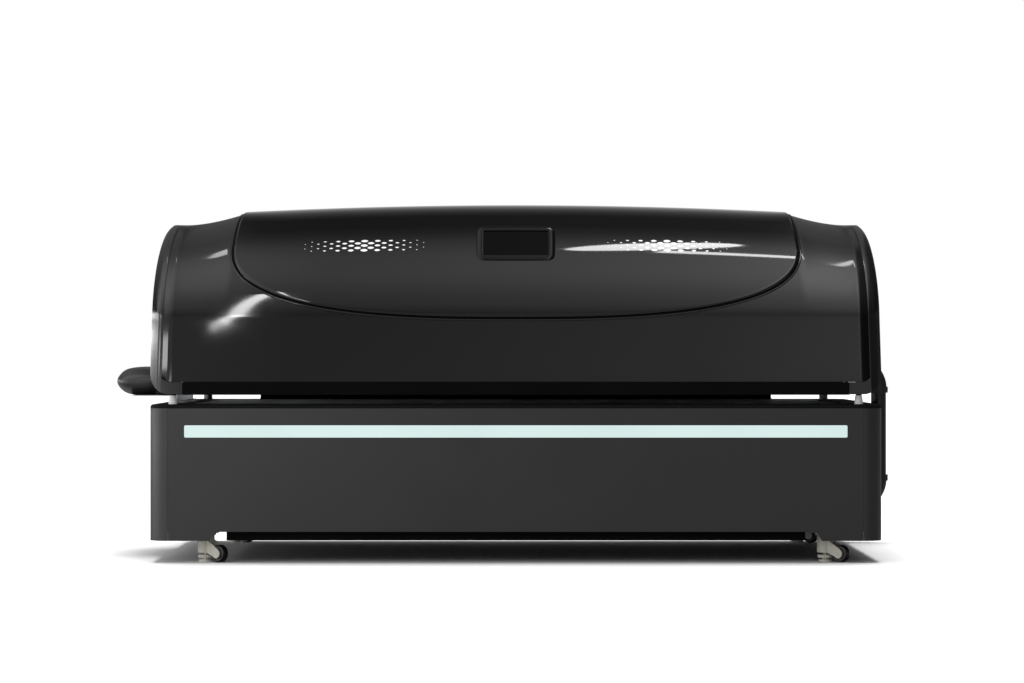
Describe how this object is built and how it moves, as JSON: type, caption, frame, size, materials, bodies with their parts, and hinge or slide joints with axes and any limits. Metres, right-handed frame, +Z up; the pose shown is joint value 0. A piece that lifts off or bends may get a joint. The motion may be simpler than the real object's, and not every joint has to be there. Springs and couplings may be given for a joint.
{
  "type": "red light therapy bed",
  "caption": "Full-body red light therapy bed: a lamp-filled base on levelling casters under a rear-hinged arched canopy with raised bonnet, vent grilles, display pod and front light strip.",
  "frame": {"origin": "centre of the bed on the floor", "axes": "+X along the bed from the head end to the foot end, -Y out of the front with the light strip, +Z up"},
  "size_m": [2.4689, 1.166, 1.096],
  "materials": {
    "panel_paint": "satin textured paint",
    "frame_paint": "powder coat",
    "zinc_steel": "zinc plated",
    "polished_steel": "polished",
    "canopy_gloss": "gloss thermoformed",
    "trim_black": "satin moulded",
    "display_gloss": "gloss",
    "screen_glass": "coated glass face",
    "strip_diffuser": "opal, lit",
    "diffuser_white": "opal",
    "clear_acrylic": "clear polished",
    "tray_aluminium": "brightened",
    "board_green": "solder mask",
    "box_steel": "perforated case",
    "fan_plastic": "moulded",
    "black_rubber": "moulded",
    "conduit_pvc": "satin jacket",
    "bolster_leather": "fine grain",
    "caster_ivory": "glass filled nylon",
    "caster_tyre": "polyurethane"
  },
  "bodies": {
    "base": {"base_frame": "frame_paint", "front_panel": "panel_paint", "rear_panel": "panel_paint", "end_panels": "panel_paint", "bottom_pan": "frame_paint", "top_deck": "canopy_gloss", "light_strip": "strip_diffuser", "strip_led_board": "board_green", "lying_sheet": "clear_acrylic", "lower_reflector": "tray_aluminium", "lower_led_boards": "board_green", "power_supplies": "box_steel", "control_box": "trim_black", "fan_frames": "fan_plastic", "mains_inlet": "fan_plastic", "base_hinge_leaves": "zinc_steel", "hinge_pins": "polished_steel", "strut_base_brackets": "zinc_steel", "deck_rubbers": "black_rubber", "headrest_shelf": "zinc_steel", "neck_bolster": "bolster_leather", "service_conduit": "conduit_pvc", "base_gland": "fan_plastic"},
    "canopy": {"canopy_shell": "canopy_gloss", "bonnet": "canopy_gloss", "vent_grilles": "canopy_gloss", "grille_diffusers": "diffuser_white", "display_pod": "display_gloss", "touch_screen": "screen_glass", "left_end_ring": "trim_black", "right_end_ring": "trim_black", "front_trim": "trim_black", "rear_trim": "trim_black", "front_seal": "black_rubber", "tunnel_liner": "clear_acrylic", "upper_reflector": "tray_aluminium", "upper_led_boards": "board_green", "canopy_frame": "frame_paint", "canopy_hinge_leaves": "zinc_steel", "strut_canopy_brackets": "zinc_steel", "canopy_gland": "fan_plastic"},
    "strut_tube_left": {"strut_tube_left": "trim_black"},
    "strut_rod_left": {"strut_rod_left": "polished_steel"},
    "fan_rotor_left": {"fan_rotor_left": "fan_plastic"},
    "strut_tube_right": {"strut_tube_right": "trim_black"},
    "strut_rod_right": {"strut_rod_right": "polished_steel"},
    "fan_rotor_right": {"fan_rotor_right": "fan_plastic"},
    "power_rocker": {"power_rocker": "fan_plastic"},
    "caster_fork_front_left": {"caster_fork_front_left": "caster_ivory"},
    "caster_wheel_front_left": {"caster_wheel_front_left": "caster_tyre"},
    "leveller_front_left": {"leveller_front_left": "caster_ivory"},
    "caster_fork_front_right": {"caster_fork_front_right": "caster_ivory"},
    "caster_wheel_front_right": {"caster_wheel_front_right": "caster_tyre"},
    "leveller_front_right": {"leveller_front_right": "caster_ivory"},
    "caster_fork_rear_left": {"caster_fork_rear_left": "caster_ivory"},
    "caster_wheel_rear_left": {"caster_wheel_rear_left": "caster_tyre"},
    "leveller_rear_left": {"leveller_rear_left": "caster_ivory"},
    "caster_fork_rear_right": {"caster_fork_rear_right": "caster_ivory"},
    "caster_wheel_rear_right": {"caster_wheel_rear_right": "caster_tyre"},
    "leveller_rear_right": {"leveller_rear_right": "caster_ivory"}
  },
  "joints": [
    {"name": "canopy_hinge", "type": "hinge", "parent": "base", "child": "canopy", "pos_m": [0, 0.56, 0.49], "axis": [-1, 0, 0], "range_deg": [0, 60], "deforming": ["service_conduit"]},
    {"name": "strut_tilt_left", "type": "hinge", "parent": "base", "child": "strut_tube_left", "pos_m": [-1.02, 0.48027, 0.37614], "axis": [-1, 0, 0], "range_deg": [0, 30.2]},
    {"name": "strut_slide_left", "type": "slide", "parent": "strut_tube_left", "child": "strut_rod_left", "axis": [0, 0, 1], "range_m": [0, 0.0496]},
    {"name": "fan_spin_left", "type": "hinge", "parent": "base", "child": "fan_rotor_left", "pos_m": [-0.45, 0.5595, 0.27], "axis": [0, -1, 0], "continuous": true},
    {"name": "strut_tilt_right", "type": "hinge", "parent": "base", "child": "strut_tube_right", "pos_m": [1.02, 0.48027, 0.37614], "axis": [-1, 0, 0], "range_deg": [0, 30.2]},
    {"name": "strut_slide_right", "type": "slide", "parent": "strut_tube_right", "child": "strut_rod_right", "axis": [0, 0, 1], "range_m": [0, 0.0496]},
    {"name": "fan_spin_right", "type": "hinge", "parent": "base", "child": "fan_rotor_right", "pos_m": [0.45, 0.5595, 0.27], "axis": [0, -1, 0], "continuous": true},
    {"name": "rocker_tilt", "type": "hinge", "parent": "base", "child": "power_rocker", "pos_m": [-0.704, 0.571, 0.2], "axis": [1, 0, 0], "range_deg": [0, 20]},
    {"name": "swivel_front_left", "type": "hinge", "parent": "base", "child": "caster_fork_front_left", "pos_m": [-0.934, -0.5, 0.08], "axis": [0, 0, 1], "continuous": true},
    {"name": "roll_front_left", "type": "hinge", "parent": "caster_fork_front_left", "child": "caster_wheel_front_left", "pos_m": [-0.89087, -0.5325, 0.026], "axis": [0.6018, 0.7986, 0], "continuous": true},
    {"name": "level_front_left", "type": "slide", "parent": "caster_fork_front_left", "child": "leveller_front_left", "axis": [0, 0, 1], "range_m": [-0.008, 0.006]},
    {"name": "swivel_front_right", "type": "hinge", "parent": "base", "child": "caster_fork_front_right", "pos_m": [0.934, -0.5, 0.08], "axis": [0, 0, 1], "continuous": true},
    {"name": "roll_front_right", "type": "hinge", "parent": "caster_fork_front_right", "child": "caster_wheel_front_right", "pos_m": [0.97713, -0.5325, 0.026], "axis": [0.6018, 0.7986, 0], "continuous": true},
    {"name": "level_front_right", "type": "slide", "parent": "caster_fork_front_right", "child": "leveller_front_right", "axis": [0, 0, 1], "range_m": [-0.008, 0.006]},
    {"name": "swivel_rear_left", "type": "hinge", "parent": "base", "child": "caster_fork_rear_left", "pos_m": [-0.934, 0.5, 0.08], "axis": [0, 0, 1], "continuous": true},
    {"name": "roll_rear_left", "type": "hinge", "parent": "caster_fork_rear_left", "child": "caster_wheel_rear_left", "pos_m": [-0.89087, 0.4675, 0.026], "axis": [0.6018, 0.7986, 0], "continuous": true},
    {"name": "level_rear_left", "type": "slide", "parent": "caster_fork_rear_left", "child": "leveller_rear_left", "axis": [0, 0, 1], "range_m": [-0.008, 0.006]},
    {"name": "swivel_rear_right", "type": "hinge", "parent": "base", "child": "caster_fork_rear_right", "pos_m": [0.934, 0.5, 0.08], "axis": [0, 0, 1], "continuous": true},
    {"name": "roll_rear_right", "type": "hinge", "parent": "caster_fork_rear_right", "child": "caster_wheel_rear_right", "pos_m": [0.97713, 0.4675, 0.026], "axis": [0.6018, 0.7986, 0], "continuous": true},
    {"name": "level_rear_right", "type": "slide", "parent": "caster_fork_rear_right", "child": "leveller_rear_right", "axis": [0, 0, 1], "range_m": [-0.008, 0.006]}
  ],
  "couplings": [
    {"joint": "strut_tilt_left", "follows": "canopy_hinge", "ratio": 0.5},
    {"joint": "strut_slide_left", "follows": "canopy_hinge", "m_per_rad": 0.047},
    {"joint": "strut_tilt_right", "follows": "canopy_hinge", "ratio": 0.5},
    {"joint": "strut_slide_right", "follows": "canopy_hinge", "m_per_rad": 0.047}
  ]
}
